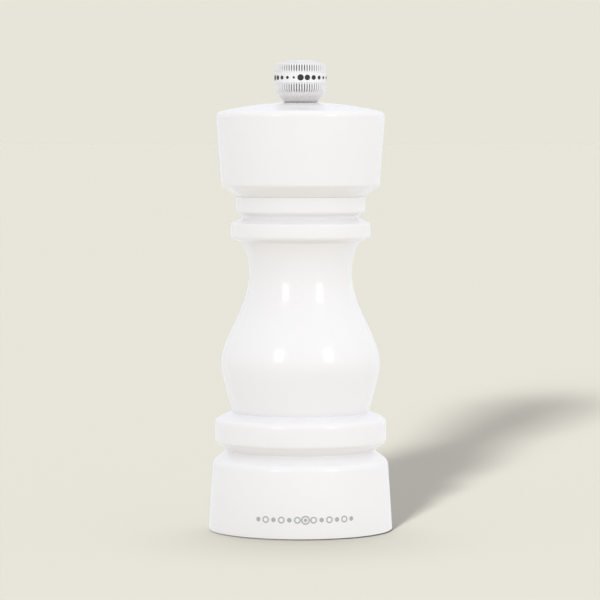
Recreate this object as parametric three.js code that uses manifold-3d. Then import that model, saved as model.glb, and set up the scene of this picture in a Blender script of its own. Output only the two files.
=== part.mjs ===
// A pepper mill, 166 mm tall, of the classic knob-adjusted kind. Its turned wooden head drives a square
// spindle and a steel rotor inside a toothed ring. Turning the knob on the spindle's thread pulls the rotor
// up against a spring, which makes the grind finer. With the knob off, the head lifts off and the bore is
// filled.
// Millimetres, +Z up, origin at the centre of the foot's underside. The grind is at its coarsest.

import * as THREE from "three";
import { mergeVertices } from "three/addons/utils/BufferGeometryUtils.js";
import Module from "manifold-3d";

const wasm = await Module();
wasm.setup();

// Outside of the woodwork.
const FOOT_RADIUS = 32.4;
const SHOULDER_RADIUS = 30.85;
const FOOT_BEAD_RADIUS = 30.15;
const BULGE_RADIUS = 27.9;
const WAIST_RADIUS = 18.1;
const NECK_BEAD_RADIUS = 24.6;
const NECK_RADIUS = 20.2;
const RIM_RADIUS = 22.7;
const HEAD_BASE_RADIUS = 27.8;
const HEAD_RADIUS = 29.75;
const SEAM_Z = 117.4;
const HEAD_TOP_Z = 150.9;
const HEAD_DOME_RADIUS = 121;
const MILL_HEIGHT = 165.6;

// Inside of the woodwork.
const RECESS_RADIUS = 23.5;
const RECESS_DEPTH = 8.9;
const BORE_RADIUS = 13;
const TENON_RADIUS = 12.5;
const TENON_LENGTH = 9;
const HEAD_HOLE_RADIUS = 4.3;
const FERRULE = { hole: 3.95, sleeve: 4.8, flange: 5.6, flangeHeight: 0.7, low: 142.1 };
const PLATE = { radius: 9.3, thickness: 1.4, pocket: 9.6, pocketDepth: 2 };

// Grinder.
const FLANGE_Z = 6.2;
const FLANGE_RADIUS = 23;
const FLANGE_THICKNESS = 2.4;
const HOUSING_RADIUS = 16.1;
const HOUSING_WALL = 1.6;
const HOUSING_TOP_Z = 31;
const RING_Z = 9.3;
const RING_HEIGHT = 11.5;
const RING_THROAT_Z = 14.3;
const ROTOR_Z = 8;
const ROTOR_HEIGHT = 10.5;
const ROTOR_RADIUS = 11.3;
const ROTOR_WAIST_Z = 13.5;
const CONE_SLOPE = 0.49;
const COARSE_GAP = 0.85;
const FINE_TEETH = 24;
const COARSE_TEETH = 8;
const BRIDGE = { low: 29.7, thickness: 1.2, armWidth: 3.6, hub: 6.2, hole: 4.7 };
const BUSH = { hole: 3.85, sleeve: 4.5, flange: 5.7, low: 28.9 };
const SPRING_WASHER = { low: ROTOR_Z + ROTOR_HEIGHT + 0.2, thickness: 0.7 };
const SPRING = { radius: 4.6, wire: 0.45, turns: 5, stepsPerTurn: 12 };
const CLIP = { low: 6.4, thickness: 0.6, inner: 2.4, outer: 4.6 };

// Spindle and knob.
const SPINDLE_SIDE = 5;
const SPINDLE_END_Z = 5.4;
const SPINDLE_SHOULDER_Z = 146.8;
const THREAD_RADIUS = 2.4;
const THREAD_TOP_Z = 160.8;
const KNOB_BAND_RADIUS = 9.2;
const KNOB_GRIP_RADIUS = 8.95;
const KNOB_SKIRT = { inner: 5.2, outer: 5.8, low: 151.05 };
const KNOB_Z = 151.55;
const KNOB_FLUTES = 40;
const FLUTE_DEPTH = 0.5;
const KNOB_INSERT = { inner: THREAD_RADIUS + 0.25, outer: 3.9, low: 152.1, high: 160.6 };

// Fits and facets.
const GAP = 0.3;
const CLOSE_GAP = 0.2;
const THREE_WAYS = [90, 210, 330].map(THREE.MathUtils.degToRad);
const WOOD_SEGMENTS = 36;
const METAL_SEGMENTS = 24;
const ARC_STEP = Math.PI / 3.5;

const material = (color, roughness, metalness) =>
  new THREE.MeshStandardMaterial({ color, roughness, metalness });
const WHITE_LACQUER = material(0xf6f5f3, 0.15, 0);
const NYLON = material(0x1d1e20, 0.5, 0);
const CARBON_STEEL = material(0x77787c, 0.38, 1);
const BRIGHT_STEEL = material(0xb9babd, 0.3, 1);
const ALUMINIUM = material(0xc6c8cb, 0.35, 1);
const CHROME = material(0xe2e3e6, 0.18, 1);
const BRASS = material(0xc9a24a, 0.3, 1);
const FIBRE = material(0x55524e, 0.8, 0);

// The points of an outline of corners [radius, height, fillet], each corner rounded by its fillet.
function rounded(corners) {
  return corners.flatMap(([r, z, fillet = 0], i) => {
    const corner = new THREE.Vector2(r, z);
    if (fillet === 0) return [corner];
    const pointAt = (j) => new THREE.Vector2(...corners.at(j % corners.length).slice(0, 2));
    const towards = (j) => pointAt(j).sub(corner).normalize();
    const [back, on] = [towards(i - 1), towards(i + 1)];
    const half = Math.acos(back.dot(on)) / 2;
    const centre = back.clone().add(on).setLength(fillet / Math.sin(half)).add(corner);
    const reach = fillet / Math.tan(half);
    const start = back.clone().multiplyScalar(reach).add(corner).sub(centre);
    const end = on.clone().multiplyScalar(reach).add(corner).sub(centre);
    const turn = Math.atan2(start.cross(end), start.dot(end));
    const steps = Math.max(1, Math.ceil(Math.abs(turn) / ARC_STEP));
    return Array.from({ length: steps + 1 }, (_, k) =>
      start.clone().rotateAround(new THREE.Vector2(), (turn * k) / steps).add(centre));
  });
}

// A solid turned about Z. The outline runs up its outside and back down its inside, or starts and ends on the
// axis.
function turned(corners, segments = METAL_SEGMENTS) {
  const points = rounded(corners);
  if (corners[0][0] > 0) points.push(points[0].clone());
  return new THREE.LatheGeometry(points, segments).rotateX(Math.PI / 2);
}

const tube = (inner, outer, low, high, segments) =>
  turned([[inner, low], [outer, low], [outer, high], [inner, high]], segments);

const rod = (radius, low, high, segments) =>
  turned([[0, low], [radius, low], [radius, high], [0, high]], segments);

// A square bar with its edges broken by a small chamfer.
function squareBar(side, low, high, chamfer = 0) {
  const half = side / 2;
  const inner = half - chamfer;
  const outline = [[half, -inner], [half, inner], [inner, half], [-inner, half],
    [-half, inner], [-half, -inner], [-inner, -half], [inner, -half]];
  const corners = chamfer > 0 ? outline : outline.filter((_, i) => i % 2);
  const shape = new THREE.Shape(corners.map((p) => new THREE.Vector2(...p)));
  return new THREE.ExtrudeGeometry(shape, { depth: high - low, bevelEnabled: false }).translate(0, 0, low);
}

function solid(geometry) {
  const plain = geometry.clone();
  plain.deleteAttribute("normal");
  plain.deleteAttribute("uv");
  const merged = mergeVertices(plain, 1e-3);
  return new wasm.Manifold(new wasm.Mesh({
    numProp: 3,
    vertProperties: merged.attributes.position.array,
    triVerts: new Uint32Array(merged.index.array),
  }));
}

function geometryOf(made) {
  const { vertProperties, triVerts } = made.getMesh();
  return new THREE.BufferGeometry()
    .setAttribute("position", new THREE.BufferAttribute(vertProperties, 3))
    .setIndex(new THREE.BufferAttribute(triVerts, 1));
}

const cut = (geometry, ...tools) =>
  geometryOf(tools.reduce((made, tool) => made.subtract(solid(tool)), solid(geometry)));

const join = (...geometries) => geometryOf(geometries.map(solid).reduce((made, other) => made.add(other)));

// Moves a turned solid's vertices in or out by a sawtooth round the axis, where depthAt(radius, height) isn't
// 0, and leans the teeth by an angle for each millimetre of height.
function toothed(geometry, count, depthAt, lean) {
  const position = geometry.attributes.position;
  for (let i = 0; i < position.count; i += 1) {
    const [x, y, z] = [position.getX(i), position.getY(i), position.getZ(i)];
    const radius = Math.hypot(x, y);
    const angle = Math.atan2(y, x);
    const phase = THREE.MathUtils.euclideanModulo((angle * count(z)) / (2 * Math.PI) + 1e-4, 1);
    const cutRadius = radius + depthAt(radius, z) * phase;
    const leant = angle + (depthAt(radius, z) === 0 ? 0 : lean * z);
    position.setXY(i, cutRadius * Math.cos(leant), cutRadius * Math.sin(leant));
  }
  return geometry;
}

const aroundAxis = (geometry, radius, angle) =>
  geometry.clone().translate(radius * Math.cos(angle), radius * Math.sin(angle), 0);

// A countersunk screw or the cavity that takes it, standing on its head, its tip towards +Z.
function countersunk(headRadius, shankRadius, low, length, tip) {
  const headDepth = headRadius - shankRadius;
  return turned([
    [0, low], [headRadius, low], [shankRadius, low + headDepth], [shankRadius, low + length - tip],
    [0, low + length],
  ], 12);
}

const HOUSING_SCREW = { circle: 19.8, head: 2.6, shank: 1.4, length: 12, low: FLANGE_Z + 0.1 };
const PLATE_Z = SEAM_Z + GAP - TENON_LENGTH + 0.3;
const PLATE_SCREW = { circle: 6.9, head: 1.8, shank: 1, length: 8, low: PLATE_Z };

const screw = ({ head, shank, low, length }) => countersunk(head, shank, low, length, 1.5);
const screwSeat = ({ circle, head, shank, low, length }) => THREE_WAYS.map((angle) =>
  aroundAxis(countersunk(head + 0.5, shank + 0.3, low - 0.3, length + 1, 0.5), circle, angle));

// The waist and the bulge, one smooth line from the foot bead up to the neck bead.
const baluster = () => new THREE.SplineCurve([
  [24.1, 41.9], [27.15, 53.8], [BULGE_RADIUS, 58.8], [27.1, 64], [23.35, 73], [19.9, 81],
  [WAIST_RADIUS, 90.8], [19, 97.6], [20.7, 101.8],
].map((p) => new THREE.Vector2(...p))).getPoints(11).map((p) => p.toArray());

function body() {
  const housingBore = HOUSING_RADIUS + GAP;
  const wood = turned([
    [RECESS_RADIUS, 0, 0.6], [FOOT_RADIUS, 0, 0.6], [SHOULDER_RADIUS, 24.5, 3], [26, 28.4, 0.4],
    [FOOT_BEAD_RADIUS, 31.6, 1.2], [FOOT_BEAD_RADIUS, 39.45, 2.3], ...baluster(),
    [NECK_BEAD_RADIUS, 103.2, 1.3], [NECK_BEAD_RADIUS, 108.3, 0.8], [NECK_RADIUS, 110.2],
    [NECK_RADIUS, 111.1], [RIM_RADIUS, 112.3, 0.8], [RIM_RADIUS, SEAM_Z, 0.4], [BORE_RADIUS, SEAM_Z, 0.6],
    [BORE_RADIUS, HOUSING_TOP_Z + 0.5], [housingBore, HOUSING_TOP_Z + 0.5],
    [housingBore, RECESS_DEPTH], [RECESS_RADIUS, RECESS_DEPTH],
  ], WOOD_SEGMENTS);
  return cut(wood, ...screwSeat(HOUSING_SCREW));
}

function head() {
  const shoulderZ = SEAM_Z + GAP;
  const tenonZ = shoulderZ - TENON_LENGTH;
  const domeAt = (r) => [r, HEAD_TOP_Z - (r * r) / (2 * HEAD_DOME_RADIUS)];
  const wood = turned([
    [HEAD_HOLE_RADIUS, tenonZ + PLATE.pocketDepth], [PLATE.pocket, tenonZ + PLATE.pocketDepth],
    [PLATE.pocket, tenonZ], [TENON_RADIUS, tenonZ, 0.6],
    [TENON_RADIUS, shoulderZ], [22.2, shoulderZ, 0.3], [HEAD_BASE_RADIUS, 121.7, 1],
    [...domeAt(HEAD_RADIUS), 2.1], domeAt(21), domeAt(13), domeAt(FERRULE.flange + GAP),
    [FERRULE.flange + GAP, HEAD_TOP_Z - FERRULE.flangeHeight - GAP],
    [FERRULE.sleeve + CLOSE_GAP, HEAD_TOP_Z - FERRULE.flangeHeight - GAP],
    [FERRULE.sleeve + CLOSE_GAP, FERRULE.low - GAP], [HEAD_HOLE_RADIUS, FERRULE.low - GAP],
  ], WOOD_SEGMENTS);
  return cut(wood, ...screwSeat(PLATE_SCREW));
}

// The flanged steel sleeve that the knob bears on, let into the head's top.
function headFerrule() {
  const { hole, sleeve, flange, flangeHeight, low } = FERRULE;
  const top = HEAD_TOP_Z - 0.05;
  return turned([
    [hole, low], [sleeve, low], [sleeve, top - flangeHeight], [flange, top - flangeHeight], [flange, top],
    [hole, top],
  ]);
}

// The disc with the square hole, which turns the spindle with the head.
function drivePlate() {
  const hole = squareBar(SPINDLE_SIDE + 2 * CLOSE_GAP, PLATE_Z - 1, PLATE_Z + PLATE.thickness + 1);
  return cut(rod(PLATE.radius, PLATE_Z, PLATE_Z + PLATE.thickness), hole, ...screwSeat(PLATE_SCREW));
}

function grinderHousing() {
  const inner = HOUSING_RADIUS - HOUSING_WALL;
  const ledge = 12.6;
  const cup = turned([
    [ledge, FLANGE_Z], [FLANGE_RADIUS, FLANGE_Z, 0.5], [FLANGE_RADIUS, FLANGE_Z + FLANGE_THICKNESS],
    [HOUSING_RADIUS, FLANGE_Z + FLANGE_THICKNESS], [HOUSING_RADIUS, HOUSING_TOP_Z], [inner, HOUSING_TOP_Z],
    [inner, RING_Z - GAP], [ledge, RING_Z - GAP],
  ], WOOD_SEGMENTS);
  const notches = bridgeArms(BRIDGE.armWidth + 2 * CLOSE_GAP, HOUSING_RADIUS + 1, BRIDGE.low - CLOSE_GAP,
    HOUSING_TOP_Z + 1);
  return cut(cup, ...screwSeat(HOUSING_SCREW), notches);
}

function bridgeArms(width, reach, low, high) {
  const arm = new THREE.BoxGeometry(reach, width, high - low).translate(reach / 2, 0, (low + high) / 2);
  return join(...THREE_WAYS.map((angle) => arm.clone().rotateZ(angle)));
}

// The three-armed plate that carries the guide bush, seated in notches in the housing's rim.
function bridge() {
  const { low, thickness, armWidth, hub, hole } = BRIDGE;
  const high = low + thickness;
  const star = join(rod(hub, low, high), bridgeArms(armWidth, HOUSING_RADIUS - 0.1, low, high));
  return cut(star, rod(hole, low - 1, high + 1));
}

function guideBush() {
  const { hole, sleeve, flange, low } = BUSH;
  const flangeTop = BRIDGE.low - 0.1;
  const top = BRIDGE.low + BRIDGE.thickness + 0.6;
  return turned([
    [hole, low], [flange, low], [flange, flangeTop], [sleeve, flangeTop], [sleeve, top], [hole, top],
  ]);
}

// The radius of the rotor's fine cone at a height, at rest.
const coneRadius = (z) => ROTOR_RADIUS - (z - ROTOR_Z) * CONE_SLOPE;

// The female grinding ring: a toothed funnel above, and below it a toothed cone that matches the rotor's.
function statorRing() {
  const outer = HOUSING_RADIUS - HOUSING_WALL - GAP;
  const lip = 1.2;
  const top = RING_Z + RING_HEIGHT;
  const funnelZ = 17.6;
  const coneAt = (z) => [coneRadius(z) + COARSE_GAP, z];
  const ring = turned([
    coneAt(RING_Z), [outer, RING_Z], [outer, top], [outer - lip, top], [10.9, funnelZ], coneAt(RING_THROAT_Z),
    coneAt((RING_Z + RING_THROAT_Z) / 2),
  ], FINE_TEETH * 3);
  const coarse = (z) => z > RING_THROAT_Z + 1;
  const count = (z) => (coarse(z) ? COARSE_TEETH : FINE_TEETH);
  const depthAt = (radius, z) => {
    if (radius > outer - 1 || z > top - 1) return 0;
    return coarse(z) ? 1 : 0.4;
  };
  return toothed(ring, count, depthAt, 0);
}

// The male grinding cone: coarse lobes above that draw the peppercorns in, fine teeth below that grind them.
function rotor() {
  const top = ROTOR_Z + ROTOR_HEIGHT;
  const chamfer = 0.6;
  const tip = 6;
  const coneAt = (z) => [coneRadius(z), z];
  const cone = turned([
    [0, ROTOR_Z], [coneRadius(ROTOR_Z) - 0.9, ROTOR_Z], coneAt(ROTOR_Z + chamfer),
    coneAt((ROTOR_Z + ROTOR_WAIST_Z) / 2), coneAt(ROTOR_WAIST_Z), [7.7, 15.8],
    [tip + chamfer, top - chamfer], [tip, top], [0, top],
  ], FINE_TEETH * 3);
  const coarse = (z) => z > ROTOR_WAIST_Z + 0.5;
  const count = (z) => (coarse(z) ? COARSE_TEETH : FINE_TEETH);
  const depthAt = (radius, z) => {
    if (radius < tip + 0.3 || z < ROTOR_Z + 0.3) return 0;
    return coarse(z) ? -1.1 : -0.5;
  };
  const hole = squareBar(SPINDLE_SIDE + 2 * CLOSE_GAP, ROTOR_Z - 1, top + 1);
  return cut(toothed(cone, count, depthAt, 0.02), hole);
}

// The square bar, turned down and threaded at the top and grooved near the bottom for its clip.
function spindle() {
  const chamfer = 0.6;
  const bar = squareBar(SPINDLE_SIDE, SPINDLE_END_Z, SPINDLE_SHOULDER_Z, 0.3);
  const thread = turned([
    [0, SPINDLE_SHOULDER_Z - 1], [THREAD_RADIUS, SPINDLE_SHOULDER_Z - 1],
    [THREAD_RADIUS, THREAD_TOP_Z - chamfer], [THREAD_RADIUS - chamfer, THREAD_TOP_Z], [0, THREAD_TOP_Z],
  ], 16);
  const groove = tube(CLIP.inner - CLOSE_GAP, 4, CLIP.low - 0.1, CLIP.low + CLIP.thickness + 0.1, 16);
  return cut(join(bar, thread), groove);
}

function retainingClip() {
  const { low, thickness, inner, outer } = CLIP;
  const mouth = new THREE.BoxGeometry(outer + 1, 2 * inner * 0.85, 3).translate((outer + 1) / 2, 0, low);
  return cut(tube(inner, outer, low, low + thickness), mouth);
}

const rotorWasher = () => tube(3.75, 5.6, 7.2, 7.8);

function springWasher() {
  const { low, thickness } = SPRING_WASHER;
  return tube(3.75, 5.9, low, low + thickness);
}

class Helix extends THREE.Curve {
  constructor(radius, low, high, turns) {
    super();
    Object.assign(this, { radius, low, high, turns });
  }

  getPoint(t, target = new THREE.Vector3()) {
    const angle = 2 * Math.PI * this.turns * t;
    const height = THREE.MathUtils.lerp(this.low, this.high, t);
    return target.set(this.radius * Math.cos(angle), this.radius * Math.sin(angle), height);
  }
}

function grinderSpring() {
  const { radius, wire, turns, stepsPerTurn } = SPRING;
  const low = SPRING_WASHER.low + SPRING_WASHER.thickness + wire + 0.1;
  const high = BUSH.low - wire - 0.1;
  const outline = new THREE.Path().absarc(0, 0, wire, 0, 2 * Math.PI).getPoints(3).slice(0, -1);
  return new THREE.ExtrudeGeometry(new THREE.Shape(outline), {
    extrudePath: new Helix(radius, low, high, turns), steps: turns * stepsPerTurn, bevelEnabled: false,
  });
}

function knob() {
  const band = { low: 157.5, high: 161.2, step: 0.2 };
  const grip = { low: 155.2, high: 164.1 };
  const outside = turned([
    [0, KNOB_Z], [KNOB_SKIRT.inner, KNOB_Z], [KNOB_SKIRT.inner, KNOB_SKIRT.low],
    [KNOB_SKIRT.outer, KNOB_SKIRT.low], [6.9, 152.1], [7.9, 153.1], [8.5, 154.2],
    [KNOB_GRIP_RADIUS, grip.low], [KNOB_GRIP_RADIUS, band.low - band.step], [KNOB_BAND_RADIUS, band.low],
    [KNOB_BAND_RADIUS, band.high], [KNOB_GRIP_RADIUS, band.high + band.step],
    [KNOB_GRIP_RADIUS, grip.high], [8.5, 164.4], [5.7, 164.9], [5.3, 165.4], [0, MILL_HEIGHT],
  ], KNOB_FLUTES * 2);
  const isGrip = (radius) => Math.abs(radius - KNOB_GRIP_RADIUS) < 0.1;
  const fluted = toothed(outside, () => KNOB_FLUTES, (radius) => (isGrip(radius) ? -FLUTE_DEPTH : 0), 0);
  const insertSeat = rod(KNOB_INSERT.outer + CLOSE_GAP, KNOB_Z - 1, KNOB_INSERT.high + CLOSE_GAP);
  const threadHole = rod(THREAD_RADIUS + 0.5, KNOB_Z - 1, THREAD_TOP_Z + 2.2);
  return cut(fluted, insertSeat, threadHole);
}

const knobInsert = () => tube(KNOB_INSERT.inner, KNOB_INSERT.outer, KNOB_INSERT.low, KNOB_INSERT.high);

const knobWasher = () => tube(2.8, 4.9, HEAD_TOP_Z + 0.05, HEAD_TOP_Z + 0.5);

function piece(name, geometry, finish) {
  const mesh = new THREE.Mesh(geometry, finish);
  mesh.name = name;
  return mesh;
}

// Three screws round the axis, one mesh each.
const screws = (name, size) => THREE_WAYS.map((angle, i) => {
  const mesh = piece(`${name}_${i + 1}`, screw(size), BRIGHT_STEEL);
  mesh.position.set(size.circle * Math.cos(angle), size.circle * Math.sin(angle), 0);
  return mesh;
});

const millBody = new THREE.Group().add(
  piece("body", body(), WHITE_LACQUER),
  piece("grinder_housing", grinderHousing(), NYLON),
  piece("stator_ring", statorRing(), CARBON_STEEL),
  piece("bridge", bridge(), BRIGHT_STEEL),
  piece("guide_bush", guideBush(), NYLON),
  piece("grinder_spring", grinderSpring(), BRIGHT_STEEL),
  ...screws("housing_screw", HOUSING_SCREW),
);

const drive = new THREE.Group().add(
  piece("spring_washer", springWasher(), BRIGHT_STEEL),
  piece("spindle", spindle(), ALUMINIUM),
  piece("rotor", rotor(), CARBON_STEEL),
  piece("rotor_washer", rotorWasher(), BRIGHT_STEEL),
  piece("retaining_clip", retainingClip(), BRIGHT_STEEL),
);

const headGroup = new THREE.Group().add(
  piece("head", head(), WHITE_LACQUER),
  piece("head_ferrule", headFerrule(), BRIGHT_STEEL),
  piece("drive_plate", drivePlate(), BRIGHT_STEEL),
  ...screws("drive_plate_screw", PLATE_SCREW),
);

const knobGroup = new THREE.Group().add(
  piece("knob", knob(), CHROME),
  piece("knob_insert", knobInsert(), BRASS),
  piece("knob_washer", knobWasher(), FIBRE),
);

const mill = new THREE.Group().add(millBody, drive, headGroup, knobGroup);

export default mill;
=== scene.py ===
"""The finished look of a gloss white pepper mill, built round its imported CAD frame. Metres, +Z up.

Outlines are (radius, height) points in millimetres, in the frame's own coordinates, and run round the section
of a piece. The front of the mill faces -Y.
"""

import math

import bmesh
import bpy
import numpy as np
from mathutils import Matrix, Vector


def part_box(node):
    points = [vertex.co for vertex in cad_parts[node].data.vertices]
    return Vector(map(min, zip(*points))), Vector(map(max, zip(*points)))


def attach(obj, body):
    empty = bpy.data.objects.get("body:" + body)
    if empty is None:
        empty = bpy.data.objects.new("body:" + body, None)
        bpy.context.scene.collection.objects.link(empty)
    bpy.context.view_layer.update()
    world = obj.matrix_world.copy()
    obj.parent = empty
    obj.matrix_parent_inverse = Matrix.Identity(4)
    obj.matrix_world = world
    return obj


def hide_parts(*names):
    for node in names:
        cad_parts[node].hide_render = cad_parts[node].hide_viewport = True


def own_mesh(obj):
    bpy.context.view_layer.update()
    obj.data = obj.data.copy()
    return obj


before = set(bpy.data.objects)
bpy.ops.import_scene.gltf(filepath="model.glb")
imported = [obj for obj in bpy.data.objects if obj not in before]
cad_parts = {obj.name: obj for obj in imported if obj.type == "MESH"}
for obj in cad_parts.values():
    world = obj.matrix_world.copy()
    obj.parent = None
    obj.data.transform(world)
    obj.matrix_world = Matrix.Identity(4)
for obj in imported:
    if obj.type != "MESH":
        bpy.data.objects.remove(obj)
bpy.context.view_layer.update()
MM = 0.001


def height_of(node, end):
    """The lowest (end 0) or highest (end 1) point of a CAD node, in millimetres."""
    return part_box(node)[end].z / MM


def radius_of(node):
    low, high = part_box(node)
    return (high.x - low.x) / 2 / MM


# Woodwork, outside.
FOOT_RADIUS = 32.4
SHOULDER_RADIUS = 30.85
SHOULDER_Z = 24.5
FOOT_BEAD_RADIUS = 30.15
NECK_BEAD_RADIUS = 24.6
NECK_GROOVE_RADIUS = 20.5
RIM_RADIUS = 22.7
HEAD_BASE_RADIUS = 27.8
HEAD_RADIUS = 29.75
HEAD_DOME_RADIUS = 121
RIM_Z = height_of("body", 1) + 0.27
HEAD_TOP_Z = 150.9

# Woodwork, inside.
RECESS_RADIUS = 23.5
RECESS_DEPTH = 8.9
BORE_RADIUS = 13
HOUSING_BORE_RADIUS = 16.4
HOUSING_BORE_Z = 31.5
TENON_RADIUS = 12.5
TENON_LENGTH = 9
HEAD_HOLE_RADIUS = 4.3
HEAD_COUNTERBORE_RADIUS = 5.9
TENON_Z = height_of("head", 0)

# Metalwork.
SPINDLE_HALF = 2.5
SPINDLE_SHOULDER_Z = 146.8
THREAD_PITCH = 0.8
THREAD_CREST = 2.4
THREAD_ROOT = 1.95
SQUARE_CLEARANCE = 0.2
FINE_TEETH = 24
COARSE_TEETH = 8
CONE_SLOPE = 0.49
ROTOR_WAIST_Z = 13.5
STATOR_THROAT_Z = 14.3
ROTOR_Z = height_of("rotor", 0)
ROTOR_RADIUS = 11.3
COARSE_GAP = 0.85
KNOB_GRIP_RADIUS = 8.95
KNOB_BAND_RADIUS = radius_of("knob")
KNOB_FLUTES = 60
THREE_WAYS = [math.radians(a) for a in (90, 210, 330)]

# Facets.
WOOD_SEGMENTS = 192
METAL_SEGMENTS = 96
FILLET_STEP = math.radians(9)


# ---- Outlines --------------------------------------------------------------------------------------------

def rounded(corners, step=FILLET_STEP):
    """The points of an outline of (radius, height, fillet) corners, each corner rounded by its fillet."""
    points = []
    for i, corner in enumerate(corners):
        here = Vector(corner[:2])
        fillet = corner[2] if len(corner) > 2 else 0
        if not fillet:
            points.append(here)
            continue
        back = (Vector(corners[i - 1][:2]) - here).normalized()
        on = (Vector(corners[(i + 1) % len(corners)][:2]) - here).normalized()
        half = back.angle(on) / 2
        centre = here + (back + on).normalized() * fillet / math.sin(half)
        start = here + back * fillet / math.tan(half) - centre
        end = here + on * fillet / math.tan(half) - centre
        turn = math.atan2(start.cross(end), start.dot(end))
        steps = max(1, math.ceil(abs(turn) / step))
        points += [centre + Matrix.Rotation(turn * k / steps, 2) @ start for k in range(steps + 1)]
    return points


def smooth_curve(knots, steps):
    """A curve with continuous curvature through the knots: a natural cubic spline over the chord lengths."""
    knots = np.array(knots, float)
    at = np.concatenate([[0], np.cumsum(np.linalg.norm(np.diff(knots, axis=0), axis=1))])
    gap = np.diff(at)
    count = len(knots)
    matrix, right = np.eye(count), np.zeros((count, 2))
    for i in range(1, count - 1):
        matrix[i, i - 1:i + 2] = gap[i - 1], 2 * (gap[i - 1] + gap[i]), gap[i]
        right[i] = 6 * ((knots[i + 1] - knots[i]) / gap[i] - (knots[i] - knots[i - 1]) / gap[i - 1])
    bend = np.linalg.solve(matrix, right)
    points = []
    for s in np.linspace(0, at[-1], steps + 1):
        i = min(int(np.searchsorted(at, s, side="right")) - 1, count - 2)
        a, b, h = at[i + 1] - s, s - at[i], gap[i]
        cubic = (bend[i] * a ** 3 + bend[i + 1] * b ** 3) / (6 * h)
        before, after = knots[i] / h - bend[i] * h / 6, knots[i + 1] / h - bend[i + 1] * h / 6
        points.append(Vector(cubic + before * a + after * b))
    return points


def spaced(low, high, step):
    """Evenly spaced numbers from low to high, about a step apart."""
    return np.linspace(low, high, max(2, round((high - low) / step) + 1))


# ---- Meshes ----------------------------------------------------------------------------------------------

def new_piece(name, bm, sharp=math.radians(32)):
    """An object from a bmesh, smooth except at edges sharper than an angle."""
    bmesh.ops.recalc_face_normals(bm, faces=bm.faces)
    mesh = bpy.data.meshes.new(name)
    bm.to_mesh(mesh)
    bm.free()
    for face in mesh.polygons:
        face.use_smooth = True
    mesh.set_sharp_from_angle(angle=sharp)
    piece = bpy.data.objects.new(name, mesh)
    bpy.context.scene.collection.objects.link(piece)
    return piece


def skin(bm, loops, slot_of=lambda k: 0, closed=True):
    """Faces between loops of the same number of points, or of one point where they meet on the axis."""
    rows = [[bm.verts.new(p) for p in loop] for loop in loops]
    count = max(len(row) for row in rows)
    followed = rows[1:] + rows[:1] if closed else rows[1:]
    for k, (low, high) in enumerate(zip(rows, followed)):
        for i in range(count):
            j = i + 1
            corners = low[i % len(low)], low[j % len(low)], high[j % len(high)], high[i % len(high)]
            corners = list(dict.fromkeys(corners))
            if len(corners) > 2:
                bm.faces.new(corners).material_index = slot_of(k)


def ring(radius, height, count, shape=None):
    """A loop round the axis. shape(radius, height, angle) gives the radius there and a turn about it."""
    if radius == 0:
        return [Vector((0, 0, height * MM))]
    points = []
    for k in range(count):
        angle = 2 * math.pi * k / count
        r, turn = shape(radius, height, angle) if shape else (radius, 0)
        points.append(polar(r, angle + turn, height))
    return points


def polar(radius, angle, height):
    return Vector((radius * math.cos(angle), radius * math.sin(angle), height)) * MM


def turned(name, outline, count=METAL_SEGMENTS, shape=None, inside=None):
    """A piece turned about Z. inside(radius, height) says where its second material shows."""
    bm = bmesh.new()
    points = [Vector(p[:2]) for p in outline]

    def slot_of(k):
        middle = (points[k] + points[(k + 1) % len(points)]) / 2
        return int(bool(inside and inside(*middle)))

    skin(bm, [ring(r, z, count, shape) for r, z in points], slot_of)
    return new_piece(name, bm)


def baked(piece):
    """The piece with its modifiers applied."""
    graph = bpy.context.evaluated_depsgraph_get()
    mesh = bpy.data.meshes.new_from_object(piece.evaluated_get(graph))
    piece.modifiers.clear()
    piece.data = mesh
    for face in mesh.polygons:
        face.use_smooth = True
    mesh.set_sharp_from_angle(angle=math.radians(32))
    return piece


def carved(piece, *cutters):
    """The piece with the cutters cut out of it."""
    for cutter in cutters:
        modifier = piece.modifiers.new("cut", "BOOLEAN")
        modifier.operation = "DIFFERENCE"
        modifier.solver = "EXACT"
        modifier.object = cutter
    baked(piece)
    for cutter in cutters:
        bpy.data.objects.remove(cutter)
    return piece


def plate(name, outlines, low, high, bevel=0.12):
    """A flat piece stamped from an outline with holes, both in millimetres, with softened edges."""
    bm = bmesh.new()
    for outline in outlines:
        verts = [bm.verts.new((x * MM, y * MM, low * MM)) for x, y in outline]
        for a, b in zip(verts, verts[1:] + verts[:1]):
            bm.edges.new((a, b))
    faces = bmesh.ops.triangle_fill(bm, use_beauty=True, edges=bm.edges)["geom"]
    faces = [g for g in faces if isinstance(g, bmesh.types.BMFace)]
    bmesh.ops.dissolve_limit(bm, angle_limit=0.01, verts=bm.verts, edges=bm.edges)
    raised = bmesh.ops.extrude_face_region(bm, geom=list(bm.faces))["geom"]
    moved = [g for g in raised if isinstance(g, bmesh.types.BMVert)]
    bmesh.ops.translate(bm, verts=moved, vec=(0, 0, (high - low) * MM))
    piece = new_piece(name, bm)
    modifier = piece.modifiers.new("edges", "BEVEL")
    modifier.width = bevel * MM
    modifier.segments = 2
    modifier.limit_method = "ANGLE"
    return baked(piece)


def arc(radius, start, end, steps, centre=(0, 0)):
    return [(centre[0] + radius * math.cos(start + (end - start) * k / steps),
             centre[1] + radius * math.sin(start + (end - start) * k / steps)) for k in range(steps + 1)]


def square_ring(half, height, count, chamfer=0):
    """A square loop with its corners broken, with points at the same angles as a round one."""
    points = []
    for k in range(count):
        angle = 2 * math.pi * k / count
        across, along = abs(math.cos(angle)), abs(math.sin(angle))
        side = half / max(across, along)
        points.append(polar(min(side, (2 * half - chamfer) / (across + along)), angle, height))
    return points


def saw(turns):
    """A tooth that rises slowly from 0 to 1 and drops back, once a turn."""
    phase = turns % 1
    return min(phase / 0.85, (1 - phase) / 0.15)


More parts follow.
